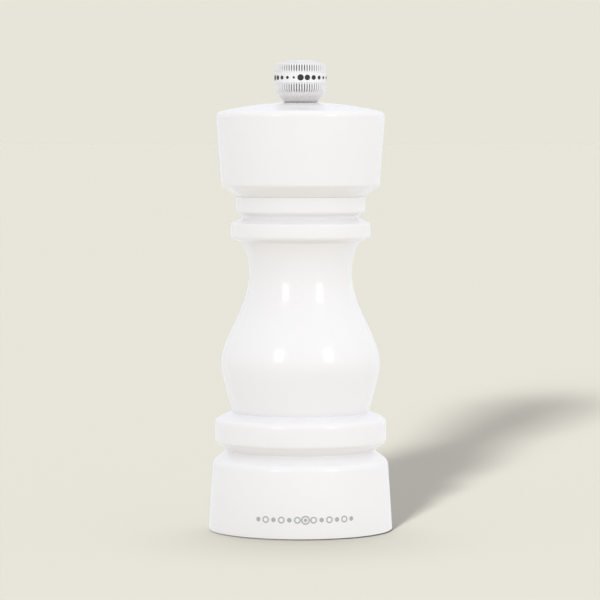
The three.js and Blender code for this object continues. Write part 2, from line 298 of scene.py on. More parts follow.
def fade(value, start, end):
    """0 before start and 1 after end, with a smooth change between."""
    t = min(max((value - start) / (end - start), 0), 1)
    return t * t * (3 - 2 * t)


# ---- Materials -------------------------------------------------------------------------------------------

class Look:
    """A material round one Principled shader, with its pattern in the piece's own coordinates."""

    def __init__(self, name, **sockets):
        self.material = bpy.data.materials.new(name)
        self.material.use_nodes = True
        self.nodes = self.material.node_tree.nodes
        self.links = self.material.node_tree.links
        self.shader = self.nodes["Principled BSDF"]
        for socket, value in sockets.items():
            self.shader.inputs[socket.replace("_", " ")].default_value = value
        self.place = self.nodes.new("ShaderNodeTexCoord").outputs["Object"]
        self.bump = None

    def node(self, kind, **inputs):
        made = self.nodes.new(kind)
        for name, value in inputs.items():
            self.wire(value, made.inputs[name.replace("_", " ")])
        return made

    def wire(self, value, socket):
        if isinstance(value, bpy.types.NodeSocket):
            self.links.new(value, socket)
        else:
            socket.default_value = value

    def stretched(self, scale):
        return self.node("ShaderNodeMapping", Vector=self.place, Scale=scale).outputs[0]

    def noise(self, size, detail=2, stretch=(1, 1, 1)):
        """Noise whose marks are about size millimetres across, drawn out by stretch."""
        place = self.stretched([1 / s for s in stretch])
        return self.node("ShaderNodeTexNoise", Vector=place, Scale=1 / (size * MM), Detail=detail).outputs[0]

    def spread(self, fac, low, high, start=0.3, end=0.7):
        limits = {"From_Min": start, "From_Max": end, "To_Min": low, "To_Max": high}
        return self.node("ShaderNodeMapRange", Value=fac, **limits).outputs[0]

    def mixed(self, fac, first, second):
        made = self.nodes.new("ShaderNodeMix")
        made.data_type = "RGBA"
        self.wire(fac, made.inputs[0])
        self.wire(first, made.inputs[6])
        self.wire(second, made.inputs[7])
        return made.outputs[2]

    def rings(self, pitch):
        """Fine lines round the axis, as a tool leaves on a turned piece."""
        scale = 0.5 / (pitch * MM) / math.pi
        wave = self.node("ShaderNodeTexWave", Vector=self.place, Scale=scale, Distortion=0.4)
        wave.wave_type = "RINGS"
        wave.rings_direction = "Z"
        return wave.outputs["Fac"]

    def add_bump(self, fac, depth, strength=1):
        """Raises the surface where fac is high, by depth millimetres."""
        made = self.node("ShaderNodeBump", Height=fac, Strength=strength, Distance=depth * MM)
        if self.bump:
            self.links.new(self.bump, made.inputs["Normal"])
        self.bump = made.outputs[0]
        self.links.new(self.bump, self.shader.inputs["Normal"])


def rgb(*colour):
    return (*colour, 1)


def white_lacquer():
    """Sprayed and polished gloss lacquer, over wood whose faint unevenness still shows in the reflections."""
    look = Look("white_lacquer", Specular_IOR_Level=0.4, Coat_Weight=1.0, Coat_Roughness=0.06, Coat_IOR=1.5)
    cloud = look.noise(30, 1)
    white = look.mixed(look.spread(cloud, 0, 1), rgb(0.881, 0.862, 0.868), rgb(0.891, 0.873, 0.879))
    look.wire(white, look.shader.inputs["Base Color"])
    look.wire(look.spread(look.noise(6, 2), 0.3, 0.4), look.shader.inputs["Roughness"])
    look.add_bump(look.noise(2.2, 1), 0.004)
    return look.material


def bare_beech():
    """Unfinished beech: pale brown, with its grain along the mill and short dark flecks."""
    look = Look("bare_beech", Specular_IOR_Level=0.25)
    grain = look.noise(1.1, 4, (1, 1, 14))
    fleck = look.spread(look.noise(0.5, 1, (1, 1, 5)), 0, 1, 0.66, 0.74)
    wood = look.mixed(look.spread(grain, 0, 1), rgb(0.42, 0.25, 0.13), rgb(0.6, 0.41, 0.25))
    look.wire(look.mixed(fleck, wood, rgb(0.27, 0.14, 0.07)), look.shader.inputs["Base Color"])
    look.wire(look.spread(grain, 0.62, 0.8), look.shader.inputs["Roughness"])
    look.add_bump(grain, 0.03, 0.7)
    look.add_bump(look.noise(0.25, 2), 0.015, 0.5)
    return look.material


def black_nylon():
    look = Look("black_nylon", Specular_IOR_Level=0.5)
    cloud = look.noise(4, 2)
    black = look.mixed(look.spread(cloud, 0, 1), rgb(0.012, 0.012, 0.013), rgb(0.022, 0.022, 0.024))
    look.wire(black, look.shader.inputs["Base Color"])
    look.wire(look.spread(look.noise(0.8, 3), 0.4, 0.58), look.shader.inputs["Roughness"])
    look.add_bump(look.noise(0.18, 2), 0.01, 0.6)
    return look.material


def metal(name, dark, light, rough, marks, marks_stretch=(1, 1, 1), depth=0.004, turned_lines=0):
    """A metal whose tone, roughness and scratches vary between two limits."""
    look = Look(name, Metallic=1.0)
    tone = look.noise(marks, 3, marks_stretch)
    look.wire(look.mixed(look.spread(tone, 0, 1), rgb(*dark), rgb(*light)), look.shader.inputs["Base Color"])
    look.wire(look.spread(look.noise(marks * 2.7, 2, marks_stretch), *rough), look.shader.inputs["Roughness"])
    look.add_bump(tone, depth, 0.6)
    if turned_lines:
        look.add_bump(look.rings(turned_lines), 0.003, 0.5)
    return look.material


def satin_chrome():
    """Satin plating, with painted shade: its colour darkens to grey in the bottoms of the knob's flutes."""
    look = Look("satin_chrome", Metallic=1.0)
    tone = look.noise(0.8, 3)
    plating = look.mixed(look.spread(tone, 0, 1), rgb(0.835, 0.822, 0.8), rgb(0.875, 0.862, 0.84))
    groove = look.nodes.new("ShaderNodeAttribute")
    groove.attribute_name = "groove"
    # Painted shade: where the groove attribute is high, the plating's colour gives way to dark grey.
    plating_with_painted_shade = look.mixed(groove.outputs["Fac"], plating, rgb(0.33, 0.325, 0.315))
    look.wire(plating_with_painted_shade, look.shader.inputs["Base Color"])
    look.wire(look.spread(look.noise(2.2, 2), 0.26, 0.34), look.shader.inputs["Roughness"])
    look.add_bump(tone, 0.0004, 0.6)
    return look.material


def fibre():
    look = Look("fibre", Specular_IOR_Level=0.2)
    strands = look.noise(0.35, 3, (3, 1, 1))
    grey = look.mixed(strands, rgb(0.14, 0.13, 0.12), rgb(0.27, 0.25, 0.23))
    look.wire(grey, look.shader.inputs["Base Color"])
    look.wire(look.spread(strands, 0.75, 0.92), look.shader.inputs["Roughness"])
    look.add_bump(strands, 0.03)
    return look.material


def ink(name, colour, paler):
    """Printed ink, a little uneven, as it takes on a curved gloss surface."""
    look = Look(name, Specular_IOR_Level=0.4)
    look.wire(look.mixed(look.noise(0.5, 3), rgb(*colour), rgb(*paler)), look.shader.inputs["Base Color"])
    look.wire(look.spread(look.noise(0.7, 2), 0.3, 0.45), look.shader.inputs["Roughness"])
    return look.material


LACQUER = white_lacquer()
BEECH = bare_beech()
NYLON = black_nylon()
FIBRE = fibre()
GRINDING_STEEL = metal("grinding_steel", (0.2, 0.2, 0.21), (0.33, 0.33, 0.34), (0.3, 0.48), 0.9, depth=0.01)
BRIGHT_STEEL = metal("bright_steel", (0.52, 0.52, 0.53), (0.66, 0.66, 0.66), (0.22, 0.34), 1.4)
DRAWN_ALUMINIUM = metal("drawn_aluminium", (0.62, 0.62, 0.63), (0.74, 0.74, 0.75), (0.24, 0.38), 0.5,
                        (1, 1, 60))
SATIN_CHROME = satin_chrome()
BRASS = metal("brass", (0.62, 0.43, 0.16), (0.76, 0.56, 0.26), (0.2, 0.32), 0.8, turned_lines=0.25)
GREY_INK = ink("grey_ink", (0.4, 0.4, 0.41), (0.46, 0.46, 0.47))
BLACK_INK = ink("black_ink", (0.012, 0.012, 0.013), (0.03, 0.03, 0.031))


def settle(piece, body, slot, materials, *nodes):
    """Gives a piece its materials and body, and hides the CAD nodes that it stands for. The slot is not used.
    """
    for material in materials:
        piece.data.materials.append(material)
    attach(piece, body)
    if nodes:
        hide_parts(*nodes)
    return piece


# ---- Woodwork --------------------------------------------------------------------------------------------

def baluster():
    """The waist and the bulge, from the foot's bead up to the neck's."""
    return smooth_curve([(24.1, 41.9), (27.15, 53.8), (27.9, 58.8), (27.1, 64), (23.35, 73), (19.9, 81),
                         (18.1, 90.8), (19, 97.6), (20.7, 101.8)], 90)


def make_body():
    """The body stands on a ring that is set in a little, so a thin dark line shows under the foot."""
    relief, inset, slant = 0.4, 2, 0.2
    outline = rounded([
        (RECESS_RADIUS, 0, 0.6), (FOOT_RADIUS - inset - slant, 0, 0.1), (FOOT_RADIUS - inset, relief),
        (FOOT_RADIUS, relief, 0.25), (SHOULDER_RADIUS, SHOULDER_Z, 3), (26, 28.4, 0.4),
        (FOOT_BEAD_RADIUS, 31.6, 1.2), (FOOT_BEAD_RADIUS, 39.45, 2.3), *baluster(),
        (NECK_BEAD_RADIUS, 103.2, 1.3), (NECK_BEAD_RADIUS, 108.3, 1), (NECK_GROOVE_RADIUS, 110.1, 0.5),
        (NECK_GROOVE_RADIUS, 111.2, 0.5), (RIM_RADIUS, 112.3, 1), (RIM_RADIUS, RIM_Z, 0.1),
        (BORE_RADIUS, RIM_Z, 0.6),
        (BORE_RADIUS, HOUSING_BORE_Z), (HOUSING_BORE_RADIUS, HOUSING_BORE_Z),
        (HOUSING_BORE_RADIUS, RECESS_DEPTH), (RECESS_RADIUS, RECESS_DEPTH)])

    def bare(r, z):
        underside = z < relief + 0.01 and r < FOOT_RADIUS - 0.3
        recess = r < RECESS_RADIUS + 0.1 and z < RECESS_DEPTH + 0.1
        return underside or recess or r < HOUSING_BORE_RADIUS + 0.1

    piece = turned("turned_body", outline, WOOD_SEGMENTS, inside=bare)
    settle(piece, "mill_body", "white_lacquer", [LACQUER, BEECH], "body")


def make_head():
    shoulder = TENON_Z + TENON_LENGTH
    counterbore, hole = HEAD_COUNTERBORE_RADIUS, HEAD_HOLE_RADIUS

    def dome(r):
        return r, HEAD_TOP_Z - r * r / (2 * HEAD_DOME_RADIUS)

    outline = rounded([
        (hole, TENON_Z + 2), (9.6, TENON_Z + 2), (9.6, TENON_Z, 0.2), (TENON_RADIUS, TENON_Z, 0.6),
        (TENON_RADIUS, shoulder), (22.65, shoulder, 0.05), (HEAD_BASE_RADIUS, 121.7, 1),
        (*dome(HEAD_RADIUS), 2.1),
        *[dome(r) for r in spaced(counterbore, 27, 0.7)[::-1]],
        (counterbore, HEAD_TOP_Z - 1), (5, HEAD_TOP_Z - 1), (5, 141.8), (hole, 141.8)])

    def bare(r, z):
        return r < 5.5 or (r < TENON_RADIUS + 0.1 and z < shoulder)

    piece = turned("turned_head", outline, WOOD_SEGMENTS, inside=bare)
    settle(piece, "head_unit", "white_lacquer", [LACQUER, BEECH], "head")


# ---- Knob ------------------------------------------------------------------------------------------------

def make_knob():
    """The knob's two fluted grips, with the plain band between them."""
    grips = ((154.2, 157.3), (161.5, 163.9))
    flute_depth, flute_half_width, run_out = 0.42, 0.27, 0.35

    def grip_radius(z):
        return min(KNOB_GRIP_RADIUS, 8.5 + 0.45 * (z - grips[0][0]))

    def groove(z, angle):
        """How deep a groove is at a place, from 0 to 1."""
        depth = sum(fade(z, low, low + run_out) * (1 - fade(z, high - run_out, high)) for low, high in grips)
        phase = (angle * KNOB_FLUTES / (2 * math.pi)) % 1
        return depth * max(0, 1 - abs(phase - 0.5) / flute_half_width)

    def fluted(r, z, angle):
        on_grip = abs(r - grip_radius(z)) < 0.01
        return r - (flute_depth * groove(z, angle) if on_grip else 0), 0

    skirt, top = HEAD_TOP_Z - 0.08, height_of("knob", 1)
    grip, band = KNOB_GRIP_RADIUS, KNOB_BAND_RADIUS
    grip_points = [[(grip_radius(z), z) for z in spaced(a, b, 0.31)] for a, b in grips]
    outline = rounded([
        (4.1, 151.6), (5.2, 151.6), (5.2, skirt), (5.8, skirt, 0.1), (6.9, 152.1, 0.8), (7.9, 153.1, 1),
        *grip_points[0],
        (grip, 157.4), (band, 157.55, 0.08), (band, 161.2, 0.08), (grip, 161.35),
        *grip_points[1],
        (grip, 164.1, 0.1), (8.5, 164.4, 0.15), (5.7, 164.9, 0.1), (5.3, 165.4, 0.3), (0, top),
        (0, 163), (2.9, 163), (2.9, 160.8), (4.1, 160.8)])
    piece = turned("fluted_knob", outline, KNOB_FLUTES * 12, shape=fluted)
    # Each vertex's groove value is its flute's depth; the knob's material paints shade into the flutes from
    # it.
    shade = piece.data.attributes.new("groove", "FLOAT", "POINT")
    for vertex, mark in zip(piece.data.vertices, shade.data):
        x, y, z = vertex.co / MM
        outside = math.hypot(x, y) > grip_radius(z) - 0.5
        mark.value = groove(z, math.atan2(y, x)) if outside else 0
    settle(piece, "knob_unit", "satin_chrome", [SATIN_CHROME], "knob")


def make_knob_insert():
    low, high = height_of("knob_insert", 0), height_of("knob_insert", 1)

    def threaded(r, z, angle):
        inner = r < 3
        return r + (0.3 * ridge(z / THREAD_PITCH - angle / (2 * math.pi)) if inner else 0), 0

    bore = [(THREAD_CREST + 0.12, z) for z in spaced(low + 0.2, high - 0.2, THREAD_PITCH / 6)[::-1]]
    outline = [(3.1, low), *rounded([(2.9, low), (3.9, low, 0.2), (3.9, high, 0.2), (3.1, high)])[1:], *bore]
    piece = turned("knob_thread", outline, 48, shape=threaded)
    settle(piece, "knob_unit", "brass", [BRASS], "knob_insert")


def ridge(turns):
    """A thread's profile, 1 at the crest and 0 at the root, once a turn."""
    phase = turns % 1
    return min(1, 1.25 * (1 - abs(2 * phase - 1)))


def make_collar(name, node, body, slot, material, bore, outer, edge=0.12):
    """A plain washer or sleeve between a CAD node's lowest and highest points."""
    low, high = height_of(node, 0), height_of(node, 1)
    outline = rounded([(bore, low, edge), (outer, low, edge), (outer, high, edge), (bore, high, edge)])
    settle(turned(name, outline), body, slot, [material], node)


def make_ferrule():
    top = height_of("head_ferrule", 1)
    outline = rounded([(3.95, 142.1, 0.1), (4.8, 142.1, 0.1), (4.8, top - 0.7), (5.6, top - 0.7, 0.1),
                       (5.6, top, 0.15), (3.95, top, 0.2)])
    settle(turned("ferrule", outline), "ferrule", "bright_steel", [BRIGHT_STEEL], "head_ferrule")


# ---- Spindle and grinder ---------------------------------------------------------------------------------

def make_spindle():
    count = METAL_SEGMENTS
    low, top = height_of("spindle", 0), height_of("spindle", 1)
    groove_low, groove_high = height_of("retaining_clip", 0) - 0.1, height_of("retaining_clip", 1) + 0.1

    def threaded(r, z, angle):
        depth = (THREAD_CREST - THREAD_ROOT) * (1 - ridge(z / THREAD_PITCH - angle / (2 * math.pi)))
        return max(THREAD_ROOT, r - depth), 0

    square = [square_ring(SPINDLE_HALF - 0.3, low, count, 0.4),
              square_ring(SPINDLE_HALF, low + 0.3, count, 0.35),
              square_ring(SPINDLE_HALF, groove_low, count, 0.35),
              ring(2.2, groove_low, count), ring(2.2, groove_high, count)]
    square += [square_ring(SPINDLE_HALF, z, count, 0.35)
               for z in (groove_high, *np.linspace(20, 140, 7), SPINDLE_SHOULDER_Z - 0.3)]
    square.append(square_ring(SPINDLE_HALF - 0.2, SPINDLE_SHOULDER_Z, count, 0.5))
    relief = [ring(THREAD_ROOT, z, count) for z in (SPINDLE_SHOULDER_Z, SPINDLE_SHOULDER_Z + 0.9)]
    thread = [ring(THREAD_CREST, z, count, threaded)
              for z in spaced(SPINDLE_SHOULDER_Z + 1, top - 0.5, THREAD_PITCH / 8)]
    end = [ring(THREAD_ROOT, top - 0.4, count), ring(THREAD_ROOT - 0.35, top, count)]
    bm = bmesh.new()
    skin(bm, [[Vector((0, 0, low * MM))], *square, *relief, *thread, *end, [Vector((0, 0, top * MM))]])
    settle(new_piece("square_spindle", bm), "spindle_unit", "aluminium", [DRAWN_ALUMINIUM], "spindle")


def cone_radius(z):
    return ROTOR_RADIUS - (z - ROTOR_Z) * CONE_SLOPE


def make_rotor():
    count = FINE_TEETH * 12
    top = height_of("rotor", 1)
    waist = ROTOR_WAIST_Z

    def toothed(r, z, angle):
        if r < 6.2 or z < ROTOR_Z + 0.2:
            return r, 0
        coarse = fade(z, waist - 1.2, waist + 0.8) * (1 - fade(z, top - 0.6, top - 0.1))
        fine = fade(z, ROTOR_Z + 0.2, ROTOR_Z + 0.6) * (1 - fade(z, waist - 0.8, waist + 0.2))
        fine_cut = 0.55 * fine * saw((angle + 0.03 * z) * FINE_TEETH / (2 * math.pi))
        coarse_cut = 1.7 * coarse * saw((angle + 0.07 * z) * COARSE_TEETH / (2 * math.pi))
        return r - fine_cut - coarse_cut * min(1, (r - 5.2) / 2), 0

    side = [(10.4, ROTOR_Z), (cone_radius(ROTOR_Z + 0.5), ROTOR_Z + 0.5)]
    side += [(cone_radius(z), z) for z in spaced(ROTOR_Z + 0.9, waist, 0.3)]
    waist_radius, nose_slope = 8.6, 0.43
    side += [(waist_radius - (z - waist) * nose_slope, z) for z in spaced(waist + 0.3, top - 0.5, 0.3)]
    side += [(6.1, top)]
    hole = SPINDLE_HALF + SQUARE_CLEARANCE
    bm = bmesh.new()
    skin(bm, [square_ring(hole, ROTOR_Z, count), *[ring(r, z, count, toothed) for r, z in side],
              square_ring(hole, top, count)])
    piece = new_piece("toothed_rotor", bm, math.radians(28))
    settle(piece, "spindle_unit", "carbon_steel", [GRINDING_STEEL], "rotor")


def make_stator():
    count = FINE_TEETH * 12
    low, top = height_of("stator_ring", 0), height_of("stator_ring", 1)
    throat = STATOR_THROAT_Z
    funnel_z, funnel_radius = 17.6, 10.9
    outer = radius_of("stator_ring")

    def toothed(r, z, angle):
        if r > outer - 1.3 or not low < z < top:
            return r, 0
        fine = 1 - fade(z, throat, throat + 0.8)
        coarse = fade(z, throat + 0.2, throat + 2.4) * (1 - fade(z, top - 0.8, top - 0.1))
        fine_cut = 0.45 * fine * saw((angle - 0.02 * z) * FINE_TEETH / (2 * math.pi))
        return r + fine_cut + 1.3 * coarse * saw((angle - 0.05 * z) * COARSE_TEETH / (2 * math.pi)), 0

    funnel_slope = (funnel_radius - cone_radius(throat) - COARSE_GAP) / (funnel_z - throat)
    bore = [(cone_radius(z) + COARSE_GAP, z) for z in spaced(low + 0.05, throat, 0.3)]
    bore += [(bore[-1][0] + (z - throat) * funnel_slope, z) for z in spaced(throat + 0.3, funnel_z, 0.3)]
    bore += [(funnel_radius + (z - funnel_z) * 0.6, z) for z in spaced(funnel_z + 0.3, top - 0.1, 0.4)]
    outside = rounded([(12.6, low), (outer, low, 0.3), (outer, top, 0.3), (13.1, top)])[1:]
    outline = [(cone_radius(low) + COARSE_GAP, low), *outside, *bore[::-1]]
    piece = turned("stator", outline, count, shape=toothed)
    settle(piece, "mill_body", "carbon_steel", [GRINDING_STEEL], "stator_ring")


def screw_hole(name, at, head, shank, low, depth):
    """A countersunk hole, as a solid to cut away."""
    outline = [(0, low - 1), (head + 0.5, low - 1), (head + 0.5, low), (shank + 0.3, low + head - shank),
               (shank + 0.3, low + depth), (0, low + depth)]
    cutter = turned(name, outline, 32)
    cutter.data.transform(Matrix.Translation(Vector(at) * MM))
    return cutter


def screw_places(circle):
    return [(circle * math.cos(a), circle * math.sin(a), 0) for a in THREE_WAYS]


HOUSING_SCREWS = {"circle": 19.8, "head": 2.6, "shank": 1.4, "length": 12}
PLATE_SCREWS = {"circle": 6.9, "head": 1.8, "shank": 1.0, "length": 8}


def make_housing():
    low, top = height_of("grinder_housing", 0), height_of("grinder_housing", 1)
    flange_top = low + 2.4
    outline = rounded([
        (12.6, low + 0.3, 0.2), (15.2, low, 0.3), (16.2, low, 0.2), (16.5, low + 0.45, 0.1),
        (22.1, low + 0.45, 0.1), (22.4, low, 0.15), (23, low, 0.25), (23, flange_top, 0.2),
        (16.1, flange_top, 0.3), (16.1, top, 0.2), (14.5, top, 0.2), (14.5, 9), (12.6, 9, 0.2)])
    piece = turned("grinder_cup", outline, 144)
    size = HOUSING_SCREWS
    holes = [screw_hole(f"hole_{i}", at, size["head"], size["shank"], low, 4)
             for i, at in enumerate(screw_places(size["circle"]))]
    notches = [plate(f"notch_{i}", [arm_outline(2.0, 11, 18, a)], 29.5, top + 1)
               for i, a in enumerate(THREE_WAYS)]
    carved(piece, *holes, *notches)
    settle(piece, "mill_body", "black_nylon", [NYLON], "grinder_housing")


def arm_outline(half, start, end, angle):
    """A straight arm that points away from the axis."""
    corners = [(start, -half), (end, -half), (end, half), (start, half)]
    return [(x * math.cos(angle) - y * math.sin(angle), x * math.sin(angle) + y * math.cos(angle))
            for x, y in corners]


def make_bridge():
    """Three arms with round fillets where they meet the hub."""
    low, high = height_of("bridge", 0), height_of("bridge", 1)
    half, reach, hub, fillet = 1.8, 16, 6.2, 2.0
    away = math.asin((half + fillet) / (hub + fillet))
    along = (hub + fillet) * math.cos(away)
    outline = []
    for angle in THREE_WAYS:
        arm = arc(fillet, math.pi - away + math.pi, math.pi / 2, 8, (along, -half - fillet))
        tip = math.asin(half / reach)
        arm += arc(reach, -tip, tip, 4)
        arm += arc(fillet, -math.pi / 2, -math.pi + away, 8, (along, half + fillet))
        arm += arc(hub, away + 0.06, 2 * math.pi / 3 - away - 0.06, 12)
        turn = Matrix.Rotation(angle, 2)
        outline += [tuple(turn @ Vector(p)) for p in arm]
    hole = arc(4.7, 0, 2 * math.pi * 47 / 48, 47)
    piece = plate("guide_bridge", [outline, hole], low, high, 0.15)
    settle(piece, "mill_body", "bright_steel", [BRIGHT_STEEL], "bridge")


def make_guide_bush():
    low, high = height_of("guide_bush", 0), height_of("guide_bush", 1)
    flange_top = 29.6
    outline = rounded([(3.85, low, 0.25), (5.7, low, 0.2), (5.7, flange_top, 0.15), (4.5, flange_top),
                       (4.5, high, 0.2), (3.85, high, 0.15)])
    settle(turned("guide_bush_nylon", outline), "mill_body", "black_nylon", [NYLON], "guide_bush")


def make_spring():
    """Round wire with its end turns closed up."""
    low, high = height_of("grinder_spring", 0), height_of("grinder_spring", 1)
    wire, coil, turns, steps, sides = 0.45, 4.6, 6.5, 44, 14
    end_pitch, flat_turns = 0.95, 0.8
    first, last = low + wire, high - wire
    bm = bmesh.new()
    loops = []
    total = round(turns * steps)
    for k in range(total + 1):
        turn = k / steps
        closing = end_pitch * (min(turn, 1) + max(turn - (turns - 1), 0))
        climbing = turns - 2 * flat_turns
        climb = min(max(turn - flat_turns, 0), climbing) / climbing
        height = first + climb * (last - first - 2 * end_pitch) + closing
        angle = 2 * math.pi * turn
        centre = polar(coil, angle, height)
        out = Vector((math.cos(angle), math.sin(angle), 0))
        loops.append([centre + (out * math.cos(a) + Vector((0, 0, 1)) * math.sin(a)) * wire * MM
                      for a in (2 * math.pi * s / sides for s in range(sides))])
    centres = [sum(loops[end], Vector()) / sides for end in (0, -1)]
    skin(bm, [[centres[0]], *loops, [centres[1]]])
    piece = new_piece("compression_spring", bm)
    settle(piece, "mill_body", "bright_steel", [BRIGHT_STEEL], "grinder_spring")
    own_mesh(piece)


def make_clip():
    """An E-shaped clip that snaps into the spindle's groove."""
    low, high = height_of("retaining_clip", 0), height_of("retaining_clip", 1)
    outer, inner, seat = 4.6, 3.1, 2.4
    mouth = math.radians(42)
    outline = arc(outer, mouth, 2 * math.pi - mouth, 40)
    lugs = [math.pi * 1.5, math.pi, math.pi / 2]
    lug = math.radians(16)
    outline += arc(seat, 2 * math.pi - mouth, 2 * math.pi - mouth - 0.2, 3)
    for middle in lugs:
        outline += arc(seat, middle + lug, middle - lug, 5)
        following = middle - math.pi / 2 if middle > 2 else mouth - lug + 0.2
        outline += arc(inner, middle - lug - 0.15, following + lug + 0.15, 6)
    outline += arc(seat, mouth + 0.2, mouth, 3)
    piece = plate("spring_clip", [outline], low, high, 0.08)
    settle(piece, "spindle_unit", "bright_steel", [BRIGHT_STEEL], "retaining_clip")


def make_drive_plate():
    low, high = height_of("drive_plate", 0), height_of("drive_plate", 1)
    hole = SPINDLE_HALF + SQUARE_CLEARANCE
    bm = bmesh.new()
    edge = rounded([(8, low), (9.3, low, 0.15), (9.3, high, 0.15), (8, high)])[1:-1]
    skin(bm, [square_ring(hole, low, 96), *[ring(r, z, 96) for r, z in edge], square_ring(hole, high, 96)])
    piece = new_piece("square_hole_plate", bm)
    size = PLATE_SCREWS
    holes = [screw_hole(f"hole_{i}", at, size["head"], size["shank"], low, 3)
             for i, at in enumerate(screw_places(size["circle"]))]
    carved(piece, *holes)
    settle(piece, "head_unit", "bright_steel", [BRIGHT_STEEL], "drive_plate")


def make_screw(name, node, body, at, head, shank, length):
    """A countersunk wood screw with a cross recess in its head, which faces down."""
    low = height_of(node, 0)
    count = 48
    pitch = 1.1 * shank / 1.4
    wide, reach, deep = 0.16 * head, 0.62 * head, 0.45 * head

    def cross(r, z, angle):
        a = abs(math.cos(angle)) + 1e-6
        b = abs(math.sin(angle)) + 1e-6
        arms = max(min(reach / a, wide / b), min(wide / a, reach / b))
        return arms * r, 0

    def threaded(r, z, angle):
        return r - 0.28 * shank * (1 - ridge(z / pitch - angle / (2 * math.pi))), 0

    neck = low + head - shank
    tip = low + length
    loops = [[Vector((0, 0, (low + deep) * MM))]]
    loops += [ring(0.35, low + deep * 0.9, count, cross), ring(1, low, count, cross)]
    cone = rounded([(head * 0.9, low), (head, low, 0.1), (shank, neck, 0.2), (shank, neck + 0.4)])[1:]
    loops += [ring(r, z, count) for r, z in cone]
    loops += [ring(shank, z, count, threaded) for z in spaced(neck + 0.5, tip - 1.6, pitch / 6)]
    loops += [ring(shank * (0.75 - 0.72 * t), tip - 1.5 + 1.4 * t, count) for t in (0, 0.35, 0.7, 1)]
    loops.append([Vector((0, 0, tip * MM))])
    bm = bmesh.new()
    skin(bm, loops)
    piece = new_piece(name, bm)
    piece.data.transform(Matrix.Translation(Vector(at) * MM))
    settle(piece, body, "bright_steel", [BRIGHT_STEEL], node)


def make_screws(name, node, body, size):
    for i, at in enumerate(screw_places(size["circle"]), start=1):
        make_screw(f"{name}_{i}", f"{node}_{i}", body, at, size["head"], size["shank"], size["length"])


# ---- Printed marks ---------------------------------------------------------------------------------------

def print_marks(name, marks, radius_at, middle_z, body, slot, material):
    """Thin ink marks on a turned surface: discs and rings of (across, up, outer, inner), in millimetres."""
    bm = bmesh.new()
    sunk, proud, sides = -0.02, 0.03, 28
    for across, up, outer, inner in marks:
        def loop(radius, lift):
            points = []
            for k in range(sides):
                turn = 2 * math.pi * k / sides
                z = middle_z + up + radius * math.sin(turn)
                surface = radius_at(z)
                angle = (across + radius * math.cos(turn)) / surface - math.pi / 2
                points.append(polar(surface + lift, angle, z))
            return points

        def middle(lift):
            surface = radius_at(middle_z + up)
            return [polar(surface + lift, across / surface - math.pi / 2, middle_z + up)]

        hub = [loop(inner, proud), loop(inner, sunk)] if inner else [middle(proud), middle(sunk)]
        half = (outer + inner) / 2
        skin(bm, [loop(outer, sunk), loop(outer, proud), loop(half, proud), *hub, loop(half, sunk)])
    settle(new_piece(name, bm), body, slot, [material])


def make_foot_marks():
    """A row of peppercorn rings and dots across the front of the foot."""
    pitch = 2.8

    def foot_radius(z):
        return FOOT_RADIUS - (FOOT_RADIUS - SHOULDER_RADIUS) * z / SHOULDER_Z

    marks = []
    for i in range(-6, 7):
        across = 1.7 + i * pitch
        if i == 0:
            marks += [(across, 0, 1.55, 1.05), (across, 0, 0.6, 0)]
        elif i % 2:
            marks.append((across, 0, 1.2, 0.72))
        else:
            marks.append((across, 0, 0.8, 0))
    print_marks("foot_marks", marks, foot_radius, 7, "mill_body", "white_lacquer", GREY_INK)


def make_knob_marks():
    """A grind scale round the knob's band: dots that run from coarse to fine, over and over."""
    sizes = (1.12, 0.98, 0.84, 0.7, 0.56, 0.42)
    runs = 4
    circumference = 2 * math.pi * KNOB_BAND_RADIUS
    pitch = circumference / (runs * len(sizes))
    marks = [((i - 2 * len(sizes)) * pitch, 0, sizes[i % len(sizes)], 0) for i in range(runs * len(sizes))]
    middle = 159.35
    print_marks("knob_marks", marks, lambda z: KNOB_BAND_RADIUS, middle,
                "knob_unit", "satin_chrome", BLACK_INK)


# ---- Studio ----------------------------------------------------------------------------------------------

CAMERA_HEIGHT = 0.1365
CAMERA_SIDE = -0.0002
CAMERA_DISTANCE = 1.095
AIM_HEIGHT = 0.0812
BACKDROP = rgb(0.799, 0.7835, 0.694)
FLOOR_COLOUR = (0.2178, 0.2124, 0.187)
ROOM_COLOUR = rgb(0.985, 1, 1.035)
ROOM_BACK = 0.92
ROOM_FRONT = 1.16
ROOM_BRIGHTEST = math.radians(20)


def make_camera():
    data = bpy.data.cameras.new("camera")
    data.sensor_width = 36
    data.lens = 186.5
    data.clip_start = 0.05
    data.clip_end = 1000
    camera = bpy.data.objects.new("camera", data)
    bpy.context.scene.collection.objects.link(camera)
    camera.location = (CAMERA_SIDE, -CAMERA_DISTANCE, CAMERA_HEIGHT)
    aim = Vector((CAMERA_SIDE, 0, AIM_HEIGHT)) - camera.location
    camera.rotation_euler = aim.to_track_quat("-Z", "Y").to_euler()
    bpy.context.scene.camera = camera


def make_floor():
    """A wide matt floor, a hair below the foot so that the two faces don't touch."""
    bm = bmesh.new()
    reach = 400
    corners = ((-1, -1), (1, -1), (1, 1), (-1, 1))
    bm.faces.new([bm.verts.new((x * reach, y * reach, -0.05 * MM)) for x, y in corners])
    floor = new_piece("floor", bm)
    look = Look("floor_paper", Specular_IOR_Level=0.0, Roughness=1.0)
    tone = look.spread(look.noise(900, 1), 0, 1)
    look.wire(look.mixed(tone, rgb(*(0.994 * c for c in FLOOR_COLOUR)), rgb(*FLOOR_COLOUR)),
              look.shader.inputs["Base Color"])
    floor.data.materials.append(look.material)
    floor.visible_glossy = False
    return floor


